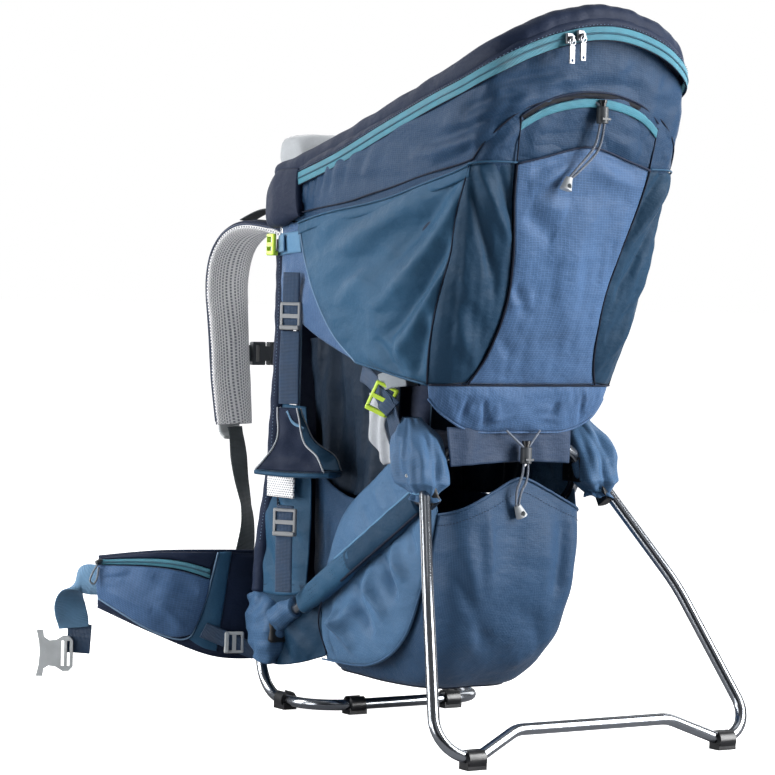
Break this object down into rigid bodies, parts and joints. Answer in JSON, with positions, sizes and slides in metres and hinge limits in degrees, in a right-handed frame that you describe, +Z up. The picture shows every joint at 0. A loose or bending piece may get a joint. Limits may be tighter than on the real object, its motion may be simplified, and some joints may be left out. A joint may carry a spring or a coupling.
{
  "type": "child_carrier_backpack",
  "caption": "Blue framed child carrier rucksack standing on a silver fold-out kickstand, with padded cabin, foot loops, padded shoulder straps and a pocketed hip belt.",
  "frame": {"origin": "centre of the footprint at floor level, on the mirror plane of the carrier", "axes": "+X towards the wearer's right hand, +Y towards the wearer's back, +Z up; it stands on its kickstand and base loop"},
  "size_m": [0.5994, 0.6707, 0.749],
  "materials": {
    "frame_tube": "polished, seen bare",
    "black_plastic": "fine moulded grain",
    "grey_plastic": "fine moulded grain",
    "dark_grey_plastic": "fine moulded grain",
    "green_plastic": "moulded",
    "light_grey_plastic": "moulded",
    "silver_metal": "cast and plated",
    "steel_pin": "turned",
    "navy_fabric": "plain weave",
    "petrol_fabric": "plain weave, slight sheen",
    "slate_fabric": "ripstop weave",
    "teal_tape": "coated zip tape",
    "grey_mesh": "spacer mesh",
    "light_grey_fabric": "brushed knit",
    "charcoal_webbing": "woven webbing",
    "navy_webbing": "woven webbing",
    "grey_cord": "braided cord"
  },
  "bodies": {
    "pack": {"back_frame_hoop": "frame_tube", "back_pads": "grey_mesh", "back_plate": "black_plastic", "base_feet": "black_plastic", "base_loop_tube": "frame_tube", "bright_adjusters": "green_plastic", "child_harness": "navy_fabric", "chin_pad": "light_grey_fabric", "cord_ends": "light_grey_plastic", "cord_lock_bodies": "dark_grey_plastic", "frame_covers": "navy_fabric", "head_hoop": "frame_tube", "hinge_brackets": "black_plastic", "hinge_pins": "steel_pin", "leg_gaiters": "petrol_fabric", "lower_brackets": "black_plastic", "lower_tail_a": "grey_cord", "lower_tail_b": "grey_cord", "main_zip": "teal_tape", "outer_pocket": "slate_fabric", "outer_wall": "slate_fabric", "seat_frame_tube": "frame_tube", "seat_lining": "navy_fabric", "side_gussets": "slate_fabric", "side_panels": "petrol_fabric", "side_webbing": "navy_webbing", "skirt_panels": "navy_fabric", "storage_bag": "slate_fabric", "top_rim": "navy_fabric", "upper_tail_a": "grey_cord", "upper_tail_b": "grey_cord", "webbing_locks": "grey_plastic", "zip_sliders": "silver_metal"},
    "kickstand": {"kickstand_tube": "frame_tube", "kickstand_knuckles": "black_plastic", "kickstand_feet": "black_plastic"},
    "yoke": {"yoke_plate": "black_plastic", "yoke_pads": "grey_mesh", "shoulder_straps": "grey_mesh", "strap_webbing": "charcoal_webbing"},
    "sternum": {"sternum_strap": "navy_webbing", "sternum_buckle": "dark_grey_plastic"},
    "hip_wing_left": {"hip_fin_left": "navy_fabric", "hip_pocket_left": "slate_fabric", "stabiliser_left": "light_grey_plastic", "hip_webbing_left": "navy_webbing"},
    "hip_wing_right": {"hip_fin_right": "navy_fabric", "hip_pocket_right": "slate_fabric", "stabiliser_right": "light_grey_plastic", "hip_webbing_right": "navy_webbing"},
    "belt_buckle_left": {"hip_buckle_left": "light_grey_plastic"},
    "belt_buckle_right": {"hip_buckle_right": "light_grey_plastic"},
    "foot_loop_left": {"stirrup_left": "navy_fabric"},
    "foot_loop_right": {"stirrup_right": "navy_fabric"},
    "pull_a": {"zip_pull_a": "silver_metal"},
    "pull_b": {"zip_pull_b": "silver_metal"},
    "button_upper": {"cord_button_upper": "black_plastic"},
    "button_lower": {"cord_button_lower": "black_plastic"},
    "seat": {"seat_pad": "navy_fabric"}
  },
  "joints": [
    {"name": "kickstand_fold", "type": "hinge", "parent": "pack", "child": "kickstand", "pos_m": [0, -0.1554, 0.277], "axis": [1, 0, 0], "range_deg": [0, 62]},
    {"name": "yoke_height", "type": "slide", "parent": "pack", "child": "yoke", "axis": [0, 0, 1], "range_m": [-0.04, 0.012]},
    {"name": "sternum_height", "type": "slide", "parent": "yoke", "child": "sternum", "axis": [0, 0, 1], "range_m": [-0.02, 0.003]},
    {"name": "hip_wing_left_swing", "type": "hinge", "parent": "pack", "child": "hip_wing_left", "pos_m": [-0.097, 0.1846, 0.105], "axis": [0, 0, 1], "range_deg": [-38, 0]},
    {"name": "hip_wing_right_swing", "type": "hinge", "parent": "pack", "child": "hip_wing_right", "pos_m": [0.097, 0.1846, 0.105], "axis": [0, 0, -1], "range_deg": [-38, 0]},
    {"name": "belt_buckle_left_tilt", "type": "hinge", "parent": "hip_wing_left", "child": "belt_buckle_left", "pos_m": [-0.2644, 0.3122, 0.042], "axis": [0, 0, 1], "range_deg": [0, 20]},
    {"name": "belt_buckle_right_tilt", "type": "hinge", "parent": "hip_wing_right", "child": "belt_buckle_right", "pos_m": [0.2644, 0.3122, 0.042], "axis": [0, 0, -1], "range_deg": [0, 20]},
    {"name": "foot_loop_left_swing", "type": "hinge", "parent": "pack", "child": "foot_loop_left", "pos_m": [-0.13, 0.0766, 0.412], "axis": [0.5524, -0.8336, 0], "range_deg": [-35, 3]},
    {"name": "foot_loop_right_swing", "type": "hinge", "parent": "pack", "child": "foot_loop_right", "pos_m": [0.13, 0.0766, 0.412], "axis": [-0.5524, -0.8336, 0], "range_deg": [-3, 35]},
    {"name": "pull_a_swing", "type": "hinge", "parent": "pack", "child": "pull_a", "pos_m": [-0.052, -0.3148, 0.7116], "axis": [1, 0, 0], "range_deg": [-70, 5]},
    {"name": "pull_b_swing", "type": "hinge", "parent": "pack", "child": "pull_b", "pos_m": [-0.04, -0.3167, 0.715], "axis": [1, 0, 0], "range_deg": [-70, 5]},
    {"name": "button_upper_press", "type": "slide", "parent": "pack", "child": "button_upper", "axis": [0, 0, -1], "range_m": [0, 0.0035], "stiffness_N_per_m": 400, "springref_m": -0.0005},
    {"name": "button_lower_press", "type": "slide", "parent": "pack", "child": "button_lower", "axis": [0, 0, -1], "range_m": [0, 0.0035], "stiffness_N_per_m": 400, "springref_m": -0.0005},
    {"name": "seat_height", "type": "slide", "parent": "pack", "child": "seat", "axis": [0, 0, 1], "range_m": [-0.012, 0.03]}
  ]
}
